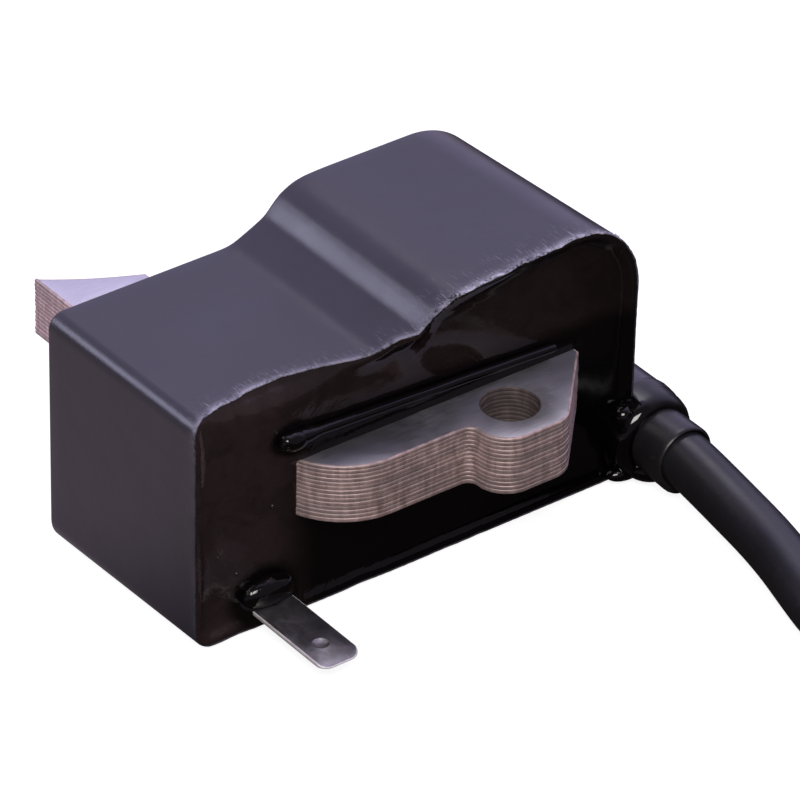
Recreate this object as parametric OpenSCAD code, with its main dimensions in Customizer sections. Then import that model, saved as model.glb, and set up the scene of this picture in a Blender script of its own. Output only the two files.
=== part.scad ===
// Small-engine ignition coil: a potted module on a laminated core, with its
// stop-switch terminal, high-tension lead and spark plug boot.
// Millimetres. X runs along the case, Y from the open potted face to the pole
// faces, Z up from the face that the case rests on. The shapes are laid out
// from the lower left corner of the open face, and then moved so that the
// origin is midway between the two mounting holes, on the core's seating face.

/* [Case] */
// Length of the case
case_l = 57.5; // [57:0.5:60]
// Depth of the case, open face to back wall
case_d = 26; // [26:0.5:30]
// Height of the case over the charge coil
case_h1 = 28.2; // [28:0.2:31]
// Height of the case over the high-tension coil
case_h2 = 33.6; // [33.2:0.2:36]
// Wall thickness of the case
wall = 1.6; // [1.2:0.1:1.7]
// Radius of both bends of the ramp in the top
ramp_r = 8; // [7:0.5:9]
// Radius of the corner over the high-tension coil
corner_r = 9.5; // [6:0.5:10]
// How far the potting stays below the rim
potting_gap = 0.6; // [0.3:0.1:1]

/* [Core] */
// Number of laminations
lam_n = 14; // [8:1:14]
// Pitch of the laminations
lam_pitch = 0.5; // [0.5:0.05:0.5]
// Height of the core's underside above the bottom of the case
core_z = 11.7; // [11.5:0.1:11.9]
// Diameter of the mounting holes
hole_d = 6.3; // [5:0.1:6.6]
// Radius of the arc of the pole faces
pole_r = 48; // [44:1:54]

/* [Lead] */
// Diameter of the high-tension lead
lead_d = 6.2; // [6:0.1:6.6]
// Outside diameter of the outlet boss
boss_d = 10; // [9.6:0.1:10]
// Outside diameter of the outlet sleeve
sleeve_d = 7.2; // [7:0.1:7.8]
// How far the sleeve stands out of the boss
sleeve_out = 7; // [4:0.1:8]

/* [Terminal] */
// Width of the stop-switch tab
tab_w = 5.2; // [4.8:0.1:5.2]
// Thickness of the stop-switch tab
tab_t = 0.5; // [0.5:0.1:0.8]
// How far the tab stands out of the open face
tab_out = 12.6; // [8:0.1:16]

/* [Boot] */
// Outside diameter of the boot at its mouth
boot_d = 19.2; // [18:0.2:19.2]
// Diameter of the socket for the spark plug
socket_d = 10.8; // [10:0.1:12]
// Depth of the socket
socket_l = 18; // [14:1:18]

/* [Hidden] */
$fn = 48;
e = 0.01;
hole1 = [37.5, -3.9];
hole2 = [16.1, 31.5];
org = [(hole1[0] + hole2[0]) / 2, (hole1[1] + hole2[1]) / 2, core_z];
lam_t = lam_pitch - 0.02;
stack = lam_n * lam_pitch - 0.02;
zc = core_z + stack / 2;
ramp_a = acos(1 - (case_h2 - case_h1) / (2 * ramp_r));
ramp_x0 = 22.2;
ramp_x1 = ramp_x0 + 2 * ramp_r * sin(ramp_a);
// the two legs of the core and the inner edge of its yoke
leg1 = [10.7, 21];
leg2 = [39.5, 49.5];
yoke_y = 4.5;
pole_c = [39.7, 82.9];
// the outlet of the lead
out_x = 59.2;
out_z = 5;
lead_r = lead_d / 2;
// the stop-switch tab
tab_x = 9.8;
tab_z = 2.5;
// the spark plug boot
boot_x = 112;
boot_y = 20;
boot_z = boot_d / 2;
boot_end = 138;
lead_z = 7;
// centreline of the lead, from inside the outlet to inside the boot
route = [
    [59.2, 9, 5], [59.2, 4, 5], [59.2, -1, 5], [59.2, -7, 5], [59.2, -11.5, 4.5],
    [58.9, -16, 3.8], [58.2, -21, 3.25], [57, -26, 3.1], [55.6, -31, 3.1],
    [54.5, -36.5, 3.1], [54.2, -42.5, 3.1], [55.2, -49, 3.1], [57.9, -55.2, 3.1],
    [62.2, -60.7, 3.1], [68, -65, 3.1], [75, -67.7, 3.1], [82.5, -68.6, 3.1],
    [90.2, -67.8, 3.1], [97.4, -65.2, 3.1], [103.5, -60.8, 3.1], [108.1, -55, 3.1],
    [111, -48, 3.1], [112, -41, 3.1], [112, -35, 3.4], [112, -28, 4.2],
    [112, -21, 5.4], [112, -14, 6.5], [112, -8, 7], [112, -3, 7], [112, 3, 7],
    [112, 9, 7], [112, 15.6, 7]
];

function arc(c, r, a0, a1, n = 8) =
    [for (i = [0:n]) let (a = a0 + (a1 - a0) * i / n) [c[0] + r * cos(a), c[1] + r * sin(a)]];
function unit(v) = v / norm(v);
// rings of a round section along a smooth path that stays close to level
function heading(p, i) = unit(p[min(i + 1, len(p) - 1)] - p[max(i - 1, 0)]);
function ring(p, i, r, n) =
    let (t = heading(p, i), s = unit(cross(t, abs(t[2]) < 0.8 ? [0, 0, 1] : [1, 0, 0])), u = cross(s, t))
    [for (k = [0:n - 1]) p[i] + r * (cos(360 * (k + 0.5) / n) * s + sin(360 * (k + 0.5) / n) * u)];

module sweep(p, r, n) {
    m = len(p);
    pts = [for (i = [0:m - 1]) each ring(p, i, r, n)];
    polyhedron(pts, concat(
        [[for (k = [n - 1:-1:0]) k]],
        [for (i = [0:m - 2]) for (k = [0:n - 1])
            let (a = i * n + k, b = i * n + (k + 1) % n) each [[a, b + n, a + n], [a, b, b + n]]],
        [[for (k = [0:n - 1]) (m - 1) * n + k]]
    ), convexity = 10);
}

// lays a sketch drawn in X and Z along Y, from y0 to y1
module along_y(y0, y1) {
    translate([0, y1, 0]) rotate([90, 0, 0]) linear_extrude(y1 - y0) children();
}
module rod_y(x, z, r, y0, y1) {
    translate([x, y1, z]) rotate([90, 0, 0]) cylinder(r = r, h = y1 - y0);
}
module rod_x(y, z, r, x0, x1) {
    translate([x0, y, z]) rotate([0, 90, 0]) cylinder(r = r, h = x1 - x0);
}
module rod_z(x, y, r, z0, z1) {
    translate([x, y, z0]) cylinder(r = r, h = z1 - z0);
}
module block(a, b) {
    translate(a) cube(b - a);
}
// square-cornered wires: each run follows one axis, with a ball at each corner
module wire(p, r) {
    for (i = [0:len(p) - 2]) {
        a = p[i];
        b = p[i + 1];
        if (a[0] != b[0]) rod_x(a[1], a[2], r, min(a[0], b[0]), max(a[0], b[0]));
        else if (a[1] != b[1]) rod_y(a[0], a[2], r, min(a[1], b[1]), max(a[1], b[1]));
        else rod_z(a[0], a[1], r, min(a[2], b[2]), max(a[2], b[2]));
        if (i > 0) translate(a) sphere(r = r, $fn = 24);
    }
}
// rounded rectangle round a centre, with half sides w and h
module rr(x, z, w, h, r) {
    translate([x, z]) {
        square([2 * w, 2 * (h - r)], center = true);
        square([2 * (w - r), 2 * h], center = true);
        for (i = [-1, 1], j = [-1, 1]) translate([i * (w - r), j * (h - r)]) circle(r = r, $fn = 32);
    }
}

// outline of the case in X and Z, inset by t
module case_outline(t) {
    polygon(concat(
        arc([2.5, 2.5], 2.5 - t, 180, 270, 6),
        arc([case_l - 2, 2], 2 - t, 270, 360, 6),
        arc([case_l - corner_r, case_h2 - corner_r], corner_r - t, 0, 90, 16),
        arc([ramp_x1, case_h2 - ramp_r], ramp_r - t, 90, 90 + ramp_a, 10),
        arc([ramp_x0, case_h1 + ramp_r], ramp_r + t, 270 + ramp_a, 270, 10),
        arc([1.8, case_h1 - 1.8], 1.8 - t, 90, 180, 5)
    ));
}

// outline of one lamination, without its holes
module core_outline() {
    polygon(concat(
        arc([21.5, 4], 8.75, 180, 270, 12),
        [[30.6, -4.75]],
        arc([30.65, -5.95], 1.2, 90, 0, 4),
        arc([35.45, -5.95], 3.6, 180, 270, 6),
        arc([39.3, -5.95], 3.6, 270, 318.5, 5),
        [[49.5, -0.2], [49.5, 45]],
        [[leg2[0], 45]],
        arc([leg2[0] - 0.8, yoke_y + 0.8], 0.8, 0, -90, 3),
        arc([leg1[1] + 0.8, yoke_y + 0.8], 0.8, 270, 180, 3),
        [[leg1[1], 50], [leg1[0], 50], [leg1[0], 5.6], [12.75, 5.6]]
    ));
}
module core_shape() {
    difference() {
        core_outline();
        translate(pole_c) circle(r = pole_r, $fn = 240);
    }
}

module place() {
    translate(-org) children();
}

// ---- case and potting ----
module case_body() {
    difference() {
        union() {
            along_y(0, case_d) case_outline(0);
            rod_y(out_x, out_z, boss_d / 2, 0, 12);
            translate([out_x, 12, out_z]) rotate([-90, 0, 0]) cylinder(r1 = boss_d / 2, r2 = 2.6, h = 6);
        }
        along_y(-1, case_d - wall) case_outline(wall);
        rod_y(out_x, out_z, boss_d / 2 - 0.6, -1, 13);
        for (l = [leg1, leg2])
            block([l[0] - 0.15, case_d - wall - 1, core_z - 0.15], [l[1] + 0.15, case_d + 1, core_z + stack + 0.15]);
    }
}
module potting_body() {
    difference() {
        union() {
            along_y(potting_gap, case_d - wall) case_outline(wall + e);
            // the outlet boss fills as well
            rod_y(out_x, out_z, boss_d / 2 - 0.62, potting_gap, 12.98);
            // and a bead of it stands round the sleeve, in front of the boss
            translate([out_x, 0, out_z]) rotate([90, 0, 0]) rotate_extrude() polygon([
                [3, -1], [boss_d / 2 - 0.7, -1], [boss_d / 2 - 0.7, 0], [boss_d / 2, 0],
                [boss_d / 2, 1.2], [boss_d / 2 - 0.25, 1.8], [boss_d / 2 - 0.7, 2.2], [3, 2.4]
            ]);
        }
        // the core
        translate([0, 0, core_z - e]) linear_extrude(stack + 2 * e) core_outline();
        // the charge coil, the high-tension coil and the board between them
        block([4.2, 5.2, 4.6], [27.5, case_d - wall + 1, 25.8]);
        block([33.1, 5.2, 4], [56, case_d - wall + 1, 26.4]);
        block([27.4, 5.2, 2.8], [33.2, case_d - wall + 1, 25.8]);
        // the storage capacitor and its leads
        block([33.9, 6.8, 26.3], [50.2, 19.2, 31.2]);
        block([29.2, 9, 25], [34, 17, 27.8]);
        // the tab, its wire and the sleeve of the lead
        block([tab_x - tab_w / 2 - e, -1, tab_z - tab_t - e], [tab_x + tab_w / 2 + e, 12, tab_z + e]);
        block([tab_x - 1.2, 7, tab_z - tab_t - e], [28, 12.2, tab_z + 2.2]);
        // the strip from the core to the board
        block([22.4, yoke_y - e, 12.9], [28, 5.3, 17.1]);
        rod_y(out_x, out_z, sleeve_d / 2 + 0.05, -3, 9.2);
        rod_y(out_x, out_z, 2.7, 9, 10.3);
        rod_y(out_x, out_z, 0.9, 9, 13);
        block([54.8, 11, out_z - 0.9], [out_x + 0.9, 13, out_z + 0.9]);
        for (l = [leg1, leg2]) block([l[0] - 0.2, 20, core_z - 0.2], [l[1] + 0.2, 30, core_z + stack + 0.2]);
    }
}

// ---- core ----
module laminations() {
    for (i = [0:lam_n - 1]) translate([0, 0, core_z + i * lam_pitch]) difference() {
        linear_extrude(lam_t) core_shape();
        for (h = [hole1, hole2]) translate([h[0], h[1], -1]) cylinder(d = hole_d, h = lam_t + 2, $fn = 64);
    }
}

// ---- coils ----
// a bobbin on a leg: a tube with flanges at the given places along Y
module bobbin(x, w, h, t, fw, fh, ft, ys, y0, y1) {
    difference() {
        union() {
            along_y(y0, y1) rr(x, zc, w + t, h + t, 0.8);
            for (y = ys) along_y(y, y + ft) rr(x, zc, fw, fh, 2.5);
        }
        along_y(y0 - 1, y1 + 1) square_at(x, w, h);
    }
}
module square_at(x, w, h) {
    translate([x, zc]) square([2 * w, 2 * h], center = true);
}
// a winding on a bobbin, from y0 to y1
module winding(x, w, h, ow, oh, r, y0, y1) {
    difference() {
        along_y(y0, y1) rr(x, zc, ow, oh, r);
        along_y(y0 - 1, y1 + 1) rr(x, zc, w, h, 0.8);
    }
}
x1c = (leg1[0] + leg1[1]) / 2;
x2c = (leg2[0] + leg2[1]) / 2;
module charge_bobbin_body() {
    bobbin(x1c, 5.25, 3.65, 0.9, 11.4, 10.2, 0.9, [5.5, 18.4, 22.6], 5.5, 23.5);
}
module charge_winding_body() {
    winding(x1c, 6.17, 4.57, 9.8, 8.6, 3.5, 6.42, 18.38);
}
module trigger_winding_body() {
    winding(x1c, 6.17, 4.57, 8.4, 7.2, 2.5, 19.32, 22.58);
}
module charge_tape_body() {
    winding_wrap(x1c, 9.82, 8.62, 3.5, 0.18, 7.2, 17.6);
}
module winding_wrap(x, w, h, r, t, y0, y1) {
    difference() {
        along_y(y0, y1) rr(x, zc, w + t, h + t, r + t);
        along_y(y0 - 1, y1 + 1) rr(x, zc, w, h, r);
    }
}
module primary_bobbin_body() {
    bobbin(x2c, 5.15, 3.65, 0.8, 7.4, 5.9, 0.8, [5.4, 23.3], 5.4, 24.1);
}
module primary_winding_body() {
    winding(x2c, 5.97, 4.47, 6.95, 5.45, 1.6, 6.22, 23.28);
}
sec_y = [for (i = [0:5]) 5.4 + i * 3.58];
module secondary_bobbin_body() {
    bobbin(x2c, 7.45, 5.95, 0.8, 11.2, 11, 0.8, sec_y, 5.4, 24.1);
}
module secondary_winding_body() {
    for (i = [0:4]) winding(x2c, 8.27, 6.77, 10.5, 10.2, 3, sec_y[i] + 0.82, sec_y[i + 1] - 0.02);
}

// ---- electronics ----
board_x = 28;
board_t = 1.2;
module board_body() {
    difference() {
        block([board_x, 6, 3.2], [board_x + board_t, 23.4, 25.6]);
        for (p = [[8, 5], [21, 5], [8, 23], [21, 23], [12, 24.4]])
            rod_x(p[0], p[1], 0.45, board_x - 1, board_x + board_t + 1);
    }
}
module capacitor_body() {
    difference() {
        block([34, 7, 26.5], [50, 19, 31]);
        for (y = [7, 19]) translate([33, y, 30.6]) rotate([45, 0, 0]) cube([18, 0.6, 0.6]);
    }
    for (y = [10.5, 15.5]) wire([[34, y, 27.3], [board_x + 1.7, y, 27.3], [board_x + 1.7, y, 25.6 + e]], 0.3);
}
module thyristor_body() {
    xb = board_x + board_t;
    difference() {
        rod_z(xb + 1.7, 11, 2.3, 12, 16.6);
        block([xb + 3.2, 8, 11], [xb + 6, 14, 18]);
        block([xb - 2, 8, 11], [xb + 0.1, 14, 18]);
    }
    for (y = [9.75, 11, 12.25]) wire([[xb + 1.7, y, 12.1], [xb + 1.7, y, 9.8], [xb + e, y, 9.8]], 0.24);
}
module axial(y, z, r, l) {
    xb = board_x + board_t;
    x = xb + r + 0.15;
    rod_z(x, y, r, z - l / 2, z + l / 2);
    wire([[x, y, z + l / 2], [x, y, z + l / 2 + 1.4], [xb + e, y, z + l / 2 + 1.4]], 0.3);
    wire([[x, y, z - l / 2], [x, y, z - l / 2 - 1.4], [xb + e, y, z - l / 2 - 1.4]], 0.3);
}
module diodes_body() {
    for (y = [16.6, 20.6]) axial(y, 19.4, 1.35, 5.2);
}
module resistors_body() {
    axial(16.6, 8.8, 1.15, 6.3);
    axial(20.6, 8.8, 1.15, 6.3);
    axial(10.6, 20.8, 0.95, 3.6);
}
module terminal_body() {
    x0 = tab_x - tab_w / 2;
    z0 = tab_z - tab_t;
    difference() {
        translate([0, 0, z0]) linear_extrude(tab_t) polygon([
            [x0, 4], [x0, -tab_out + 1.1], [x0 + 0.35, -tab_out + 0.35], [x0 + 1.1, -tab_out],
            [x0 + tab_w - 1.1, -tab_out], [x0 + tab_w - 0.35, -tab_out + 0.35], [x0 + tab_w, -tab_out + 1.1],
            [x0 + tab_w, 4], [tab_x + 1, 5.4], [tab_x + 1, 11], [tab_x - 1, 11], [tab_x - 1, 5.4]
        ]);
        // the dimple that a spade connector snaps into
        translate([tab_x - 0.2, -tab_out + 3.8, tab_z - 0.25]) cylinder(d = 1.6, h = 1);
        // the bevel across the tip, above and below
        translate([tab_x - 5, -tab_out, tab_z - 0.15]) rotate([25, 0, 0]) translate([0, -2, 0]) cube([10, 2.5, 1]);
        translate([tab_x - 5, -tab_out, z0 + 0.15]) rotate([-25, 0, 0]) translate([0, -2, -1]) cube([10, 2.5, 1]);
    }
}
module stop_wire_body() {
    wire([[tab_x, 10, tab_z + 0.45], [tab_x, 11.4, tab_z + 0.45], [board_x - 0.6, 11.4, tab_z + 0.45],
        [board_x - 0.6, 11.4, 5], [board_x - e, 11.4, 5]], 0.4);
}
module strap_body() {
    // a strip from the inner edge of the yoke to the board
    block([22.5, yoke_y + 0.02, 13], [27.8, yoke_y + 0.32, 17]);
    block([27.5, yoke_y + 0.02, 13], [27.8, 7.5, 17]);
    block([27.5, 6.3, 13], [board_x - e, 7.3, 17]);
}
module coil_wires_body() {
    wire([[x1c + 9.81, 6.8, 19], [x1c + 11.3, 6.8, 19], [x1c + 11.3, 8, 19], [x1c + 11.3, 8, 23], [board_x - e, 8, 23]], 0.2);
    wire([[33.28, 5.8, 8], [31.4, 5.8, 8], [31.4, 5.8, 5], [31.4, 8, 5], [board_x + board_t + e, 8, 5]], 0.2);
}

// ---- high-tension outlet, lead and boot ----
module contact_body() {
    rod_y(out_x, out_z, 2.6, 9.02, 9.7);
    wire([[out_x, 9.5, out_z], [out_x, 12, out_z], [55.2, 12, out_z]], 0.7);
}
module sleeve_body() {
    difference() {
        rod_y(out_x, out_z, sleeve_d / 2, -sleeve_out, 9);
        rod_y(out_x, out_z, lead_r + 0.04, -sleeve_out - 1, 10);
    }
}
module lead_body() {
    sweep(route, lead_r, 12);
}
module boot_body() {
    difference() {
        union() {
            rod_y(boot_x, lead_z, 6.3, -4, boot_y);
            translate([0, boot_y, boot_z]) rotate([0, 90, 0]) rotate_extrude() polygon(concat(
                [for (a = [180:-15:105]) [9 * sin(a), boot_x + 9 * cos(a)]],
                [[9, boot_x], [8.6, boot_end - 4.4], [boot_d / 2, boot_end - 3.6],
                    [boot_d / 2, boot_end - 0.8], [boot_d / 2 - 0.8, boot_end], [0, boot_end]]
            ));
        }
        rod_y(boot_x, lead_z, lead_r + 0.04, -5, 15.8);
        rod_x(boot_y, boot_z, 4, boot_x - 3.5, boot_end - socket_l + 1);
        rod_y(boot_x, lead_z + 0.4, 2, 14, boot_y);
        rod_x(boot_y, boot_z, socket_d / 2, boot_end - socket_l, boot_end + 1);
    }
}
module spring_body() {
    turns = 6;
    n = 8;
    r = 3.1;
    x0 = boot_x - 2.4;
    sweep(concat(
        [[boot_x, 15.7, lead_z], [boot_x, 16.2, lead_z + 0.4]],
        [[boot_x - 1.6, 16.8, boot_z - 0.9]],
        [for (i = [0:turns * n]) let (a = 180 - i * 360 / n) [x0 + 9.4 * i / (turns * n), boot_y + r * cos(a), boot_z + r * sin(a)]]
    ), 0.4, 6);
}

module case_shell() { color([0.13, 0.12, 0.15]) place() case_body(); }
module potting_compound() { color([0.03, 0.03, 0.035]) place() potting_body(); }
module core_laminations() { color([0.62, 0.61, 0.64]) place() laminations(); }
module charge_coil_bobbin() { color([0.86, 0.84, 0.78]) place() charge_bobbin_body(); }
module charge_winding() { color([0.72, 0.36, 0.14]) place() charge_winding_body(); }
module trigger_winding() { color([0.62, 0.22, 0.1]) place() trigger_winding_body(); }
module charge_coil_tape() { color([0.85, 0.68, 0.2]) place() charge_tape_body(); }
module primary_bobbin() { color([0.82, 0.8, 0.74]) place() primary_bobbin_body(); }
module primary_winding() { color([0.78, 0.4, 0.16]) place() primary_winding_body(); }
module secondary_bobbin() { color([0.9, 0.88, 0.82]) place() secondary_bobbin_body(); }
module secondary_winding() { color([0.7, 0.3, 0.12]) place() secondary_winding_body(); }
module circuit_board() { color([0.1, 0.35, 0.18]) place() board_body(); }
module storage_capacitor() { color([0.6, 0.2, 0.1]) place() capacitor_body(); }
module thyristor() { color([0.06, 0.06, 0.06]) place() thyristor_body(); }
module rectifier_diodes() { color([0.08, 0.08, 0.09]) place() diodes_body(); }
module resistors() { color([0.75, 0.65, 0.45]) place() resistors_body(); }
module stop_terminal() { color([0.5, 0.5, 0.53]) place() terminal_body(); }
module stop_wire() { color([0.7, 0.1, 0.08]) place() stop_wire_body(); }
module ground_strap() { color([0.75, 0.62, 0.3]) place() strap_body(); }
module coil_wires() { color([0.75, 0.38, 0.15]) place() coil_wires_body(); }
module ht_contact() { color([0.78, 0.64, 0.3]) place() contact_body(); }
module lead_sleeve() { color([0.1, 0.1, 0.11]) place() sleeve_body(); }
module ht_lead() { color([0.07, 0.07, 0.08]) place() lead_body(); }
module plug_boot() { color([0.06, 0.06, 0.065]) place() boot_body(); }
module plug_spring() { color([0.7, 0.7, 0.72]) place() spring_body(); }

case_shell();  // case
potting_compound();
core_laminations();
charge_coil_bobbin();
charge_winding();
trigger_winding();
charge_coil_tape();
primary_bobbin();
primary_winding();
secondary_bobbin();
secondary_winding();
circuit_board();
storage_capacitor();
thyristor();
rectifier_diodes();
resistors();
stop_terminal();
stop_wire();
ground_strap();
coil_wires();
ht_contact();
lead_sleeve();
ht_lead();
plug_boot();
plug_spring();
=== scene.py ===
import math
import random

import bmesh
import bpy
import numpy as np
from mathutils import Matrix, Vector, geometry, noise


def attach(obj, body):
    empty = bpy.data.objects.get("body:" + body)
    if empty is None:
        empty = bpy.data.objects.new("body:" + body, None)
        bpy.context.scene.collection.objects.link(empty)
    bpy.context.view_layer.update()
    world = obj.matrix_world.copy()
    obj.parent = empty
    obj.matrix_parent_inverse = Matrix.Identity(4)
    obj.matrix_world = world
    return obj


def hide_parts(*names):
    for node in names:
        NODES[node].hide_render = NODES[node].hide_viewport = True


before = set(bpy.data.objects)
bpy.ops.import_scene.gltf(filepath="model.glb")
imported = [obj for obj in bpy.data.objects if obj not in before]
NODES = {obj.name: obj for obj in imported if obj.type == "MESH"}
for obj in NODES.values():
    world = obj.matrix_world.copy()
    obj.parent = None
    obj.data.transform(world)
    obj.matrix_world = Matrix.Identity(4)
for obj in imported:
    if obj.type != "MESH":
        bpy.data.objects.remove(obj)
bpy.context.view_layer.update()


random.seed(7)

# The shapes are worked out in millimetres from the lower left corner of the
# case's open face, and moved to the part's frame when a mesh is made.
ORG = (26.8, 13.8, 11.7)


def mm(p):
    return Vector(((p[0] - ORG[0]) / 1000, (p[1] - ORG[1]) / 1000, (p[2] - ORG[2]) / 1000))


# ---------------------------------------------------------------- camera
CAM = (6801.20372, -0.655288579, 0.590985526, 0.0206881315, -21.1633078, -26.2669140, 702.941362)


def make_camera():
    f, az, el, roll, tx, ty, dist = CAM
    back = Vector((math.sin(az) * math.cos(el), -math.cos(az) * math.cos(el), math.sin(el)))
    fwd = -back
    right = fwd.cross(Vector((0, 0, 1))).normalized()
    up = right.cross(fwd)
    c, s = math.cos(roll), math.sin(roll)
    r2, u2 = c * right + s * up, -s * right + c * up
    centre = -(r2 * tx + u2 * ty + fwd * dist)
    cam = bpy.data.objects.new("camera", bpy.data.cameras.new("camera"))
    bpy.context.scene.collection.objects.link(cam)
    rot = Matrix((r2, u2, -fwd)).transposed()
    cam.matrix_world = Matrix.Translation(mm(centre)) @ rot.to_4x4()
    cam.data.sensor_fit = "HORIZONTAL"
    cam.data.sensor_width = 36
    cam.data.lens = f / 800 * 36
    cam.data.clip_start, cam.data.clip_end = 0.01, 10
    bpy.context.scene.camera = cam
    return cam


make_camera()

# ---------------------------------------------------------------- materials


def ramp_set(node, stops):
    els = node.color_ramp.elements
    while len(els) > 1:
        els.remove(els[-1])
    for i, (pos, col) in enumerate(stops):
        el = els[0] if i == 0 else els.new(pos)
        el.position = pos
        el.color = (*col, 1) if len(col) == 3 else col


class Mat:
    """A small helper round one node material with a Principled shader."""

    def __init__(self, name, color, rough=0.5, metal=0.0, spec=0.5, ior=1.5, **sockets):
        self.m = bpy.data.materials.new(name)
        self.m.use_nodes = True
        self.nt = self.m.node_tree
        self.b = self.nt.nodes["Principled BSDF"]
        self.b.inputs["Base Color"].default_value = (*color, 1)
        self.b.inputs["Roughness"].default_value = rough
        self.b.inputs["Metallic"].default_value = metal
        self.b.inputs["Specular IOR Level"].default_value = spec
        self.b.inputs["IOR"].default_value = ior
        for k, v in sockets.items():
            self.b.inputs[k.replace("_", " ")].default_value = v
        self.color = color
        self.coord = self.add("ShaderNodeTexCoord")

    def add(self, kind, **props):
        n = self.nt.nodes.new(kind)
        for k, v in props.items():
            setattr(n, k, v)
        return n

    def link(self, a, b):
        self.nt.links.new(a, b)

    def scaled(self, scale):
        """Object coordinates stretched by scale (three numbers)."""
        m = self.add("ShaderNodeMapping")
        m.inputs["Scale"].default_value = scale
        self.link(self.coord.outputs["Object"], m.inputs["Vector"])
        return m.outputs["Vector"]

    def noise(self, scale, detail=3, rough=0.5, distort=0.0, vec=None):
        """Noise whose features are about 1/scale of a metre across."""
        n = self.add("ShaderNodeTexNoise")
        n.inputs["Scale"].default_value = scale
        n.inputs["Detail"].default_value = detail
        n.inputs["Roughness"].default_value = rough
        n.inputs["Distortion"].default_value = distort
        self.link(vec or self.coord.outputs["Object"], n.inputs["Vector"])
        return n.outputs["Fac"]

    def range(self, value, lo, hi, to_lo, to_hi, smooth=False):
        n = self.add("ShaderNodeMapRange")
        if smooth:
            n.interpolation_type = "SMOOTHSTEP"
        n.inputs["From Min"].default_value = lo
        n.inputs["From Max"].default_value = hi
        n.inputs["To Min"].default_value = to_lo
        n.inputs["To Max"].default_value = to_hi
        self.link(value, n.inputs["Value"])
        return n.outputs["Result"]

    def math(self, op, a, b=None, clamp=False):
        n = self.add("ShaderNodeMath", operation=op, use_clamp=clamp)
        for i, v in enumerate((a, b)):
            if v is None:
                continue
            if isinstance(v, (int, float)):
                n.inputs[i].default_value = v
            else:
                self.link(v, n.inputs[i])
        return n.outputs[0]

    def mix(self, fac, a, b):
        n = self.add("ShaderNodeMix", data_type="RGBA")
        if isinstance(fac, (int, float)):
            n.inputs["Factor"].default_value = fac
        else:
            self.link(fac, n.inputs["Factor"])
        for name, v in (("A", a), ("B", b)):
            i = [s for s in n.inputs if s.name == name and s.type == "RGBA"][0]
            if isinstance(v, tuple):
                i.default_value = (*v, 1)
            else:
                self.link(v, i)
        return [s for s in n.outputs if s.type == "RGBA"][0]

    def colour(self, out):
        self.link(out, self.b.inputs["Base Color"])

    def rough(self, out):
        self.link(out, self.b.inputs["Roughness"])

    def bump(self, height, dist, strength=1.0):
        n = self.add("ShaderNodeBump")
        n.inputs["Strength"].default_value = strength
        n.inputs["Distance"].default_value = dist
        self.link(height, n.inputs["Height"])
        old = [l for l in self.nt.links if l.to_socket == self.b.inputs["Normal"]]
        if old:
            self.link(old[0].from_socket, n.inputs["Normal"])
            self.nt.links.remove(old[0])
        self.link(n.outputs["Normal"], self.b.inputs["Normal"])

    def axis(self, i):
        """One object coordinate, in mm of the drawing."""
        n = self.add("ShaderNodeSeparateXYZ")
        self.link(self.coord.outputs["Object"], n.inputs["Vector"])
        return self.math("ADD", self.math("MULTIPLY", n.outputs[i], 1000.0), float(ORG[i]))

    def attr(self, name):
        n = self.add("ShaderNodeAttribute", attribute_name=name)
        return n.outputs["Fac"]


def plastic(name, color, var=0.25, rough=0.45, grain=0.00001, spec=0.4):
    m = Mat(name, color, rough, spec=spec)
    big = m.noise(60, 3)
    dark = tuple(c * (1 - var) for c in color)
    lite = tuple(min(1, c * (1 + var)) for c in color)
    m.colour(m.mix(m.range(big, 0.35, 0.65, 0, 1), dark, lite))
    m.rough(m.range(m.noise(220, 3), 0.3, 0.7, rough - 0.05, rough + 0.07))
    m.bump(m.noise(5200, 2), grain)
    return m.m


def metal(name, color, rough=0.35, var=0.2, grain=0.000004, stretch=(1, 1, 1)):
    m = Mat(name, color, rough, metal=1.0)
    v = m.scaled(stretch)
    n = m.noise(900, 4, vec=v)
    m.colour(m.mix(m.range(n, 0.35, 0.65, 0, 1), tuple(c * (1 - var) for c in color), color))
    m.rough(m.range(n, 0.3, 0.7, rough - 0.08, rough + 0.12))
    m.bump(m.noise(4200, 3, vec=v), grain)
    return m.m


def winding_mat(name, color, pitch):
    """Close turns of enamelled wire: fine ridges that follow each other along Y."""
    m = Mat(name, color, 0.3, metal=1.0)
    w = m.add("ShaderNodeTexWave", wave_type="BANDS", bands_direction="Y", wave_profile="SIN")
    w.inputs["Scale"].default_value = 1 / pitch / 20 * math.pi * 2
    w.inputs["Distortion"].default_value = 0.4
    m.link(m.coord.outputs["Object"], w.inputs["Vector"])
    m.colour(m.mix(m.range(w.outputs["Fac"], 0, 1, 0, 1), tuple(c * 0.55 for c in color), color))
    m.rough(m.range(m.noise(800, 3), 0.3, 0.7, 0.25, 0.42))
    m.bump(w.outputs["Fac"], pitch * 0.3)
    return m.m


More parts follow.
